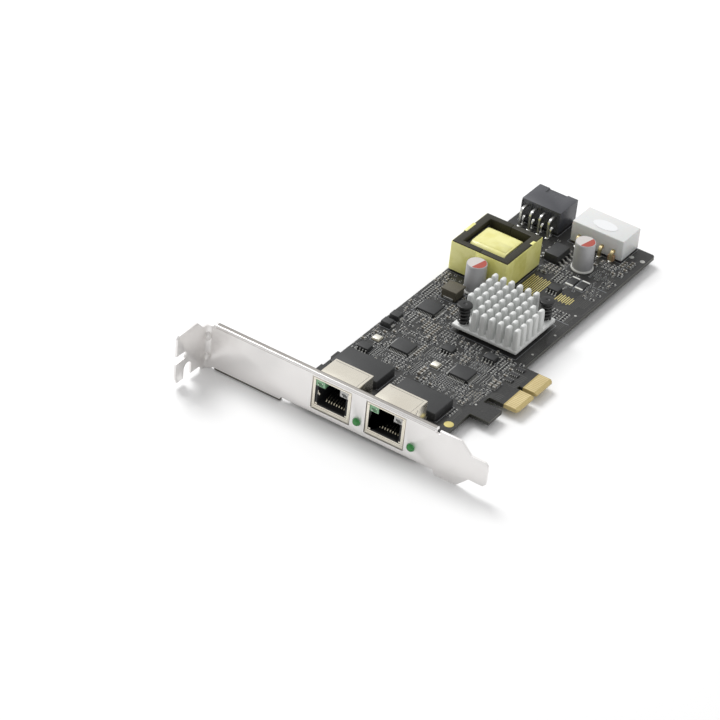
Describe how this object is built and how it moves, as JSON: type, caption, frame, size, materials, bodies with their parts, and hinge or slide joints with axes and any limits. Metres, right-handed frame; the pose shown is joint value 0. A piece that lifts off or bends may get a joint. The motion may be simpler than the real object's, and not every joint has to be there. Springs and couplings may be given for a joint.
{
  "type": "network interface card",
  "caption": "Full-height network interface card with shielded network ports, pin-fin heat sink, wrapped transformer and power headers for power over the network cable.",
  "frame": {"origin": "centre of the edge connector's key notch, at the connector's outer edge and half way through the board", "axes": "+X out of the edge connector, the way it goes into its slot; +Y from the bracket to the card's tail; +Z out of the component side"},
  "size_m": [0.12, 0.1863, 0.0226],
  "materials": {
    "bracket_steel": "satin nickel-plated sheet",
    "screw_steel": "plated",
    "board_black": "satin solder mask over glass laminate",
    "gold": "gold plating",
    "shield_steel": "plated sheet",
    "housing_black": "moulded",
    "header_black": "moulded",
    "contact_wire": "gold-flashed wire",
    "lamp_green": "tinted clear",
    "lamp_clear": "milky clear",
    "holder_black": "moulded",
    "chip_black": "fine moulded epoxy",
    "lead_tin": "tinned",
    "sink_aluminium": "bead-blasted, clear anodised",
    "pad_grey": "soft silicone",
    "push_pin_black": "moulded nylon",
    "spring_black": "black oxide wire",
    "ferrite": "ground ferrite",
    "bobbin_black": "moulded phenolic",
    "tape_yellow": "polyester tape",
    "can_aluminium": "satin, coated",
    "seal_pale": "moulded base",
    "choke_grey": "pressed powder",
    "header_white": "moulded nylon",
    "disc_paper": "matt film",
    "crystal_base": "ceramic",
    "crystal_lid": "plated lid"
  },
  "bodies": {
    "root": {"bare_strips": "gold", "black_header": "header_black", "black_header_pins": "lead_tin", "board_eyelet": "gold", "bracket": "bracket_steel", "bracket_screws": "screw_steel", "capacitor_1": "can_aluminium", "capacitor_2": "can_aluminium", "capacitor_leads": "lead_tin", "capacitor_seats": "seal_pale", "circuit_board": "board_black", "crystal_bases": "crystal_base", "crystal_lids": "crystal_lid", "diode_terminals": "lead_tin", "diodes": "chip_black", "edge_contacts": "gold", "flat_chip_1": "chip_black", "flat_chip_2": "chip_black", "flat_chip_3": "chip_black", "flat_chip_leads": "lead_tin", "header_disc": "disc_paper", "heat_sink": "sink_aluminium", "isolator": "chip_black", "isolator_leads": "lead_tin", "jack_contacts_1": "contact_wire", "jack_contacts_2": "contact_wire", "jack_housing_1": "housing_black", "jack_housing_2": "housing_black", "jack_lamps_clear": "lamp_clear", "jack_lamps_green": "lamp_green", "jack_shield_1": "shield_steel", "jack_shield_2": "shield_steel", "lamp_holder_1": "holder_black", "lamp_holder_2": "holder_black", "magnetics_leads": "lead_tin", "network_magnetics_1": "chip_black", "network_magnetics_2": "chip_black", "power_choke": "choke_grey", "push_pin_1": "push_pin_black", "push_pin_2": "push_pin_black", "push_pin_springs": "spring_black", "sense_resistor_caps": "lead_tin", "sense_resistors": "chip_black", "small_chip_leads": "lead_tin", "small_chips": "chip_black", "status_lamp_1": "lamp_green", "status_lamp_2": "lamp_green", "switch_chip": "chip_black", "thermal_pad": "pad_grey", "transformer_bobbin": "bobbin_black", "transformer_core_1": "ferrite", "transformer_core_2": "ferrite", "transformer_pins": "lead_tin", "transformer_tape": "tape_yellow", "transformer_winding": "tape_yellow", "white_header": "header_white", "white_header_pins": "gold"}
  },
  "joints": []
}
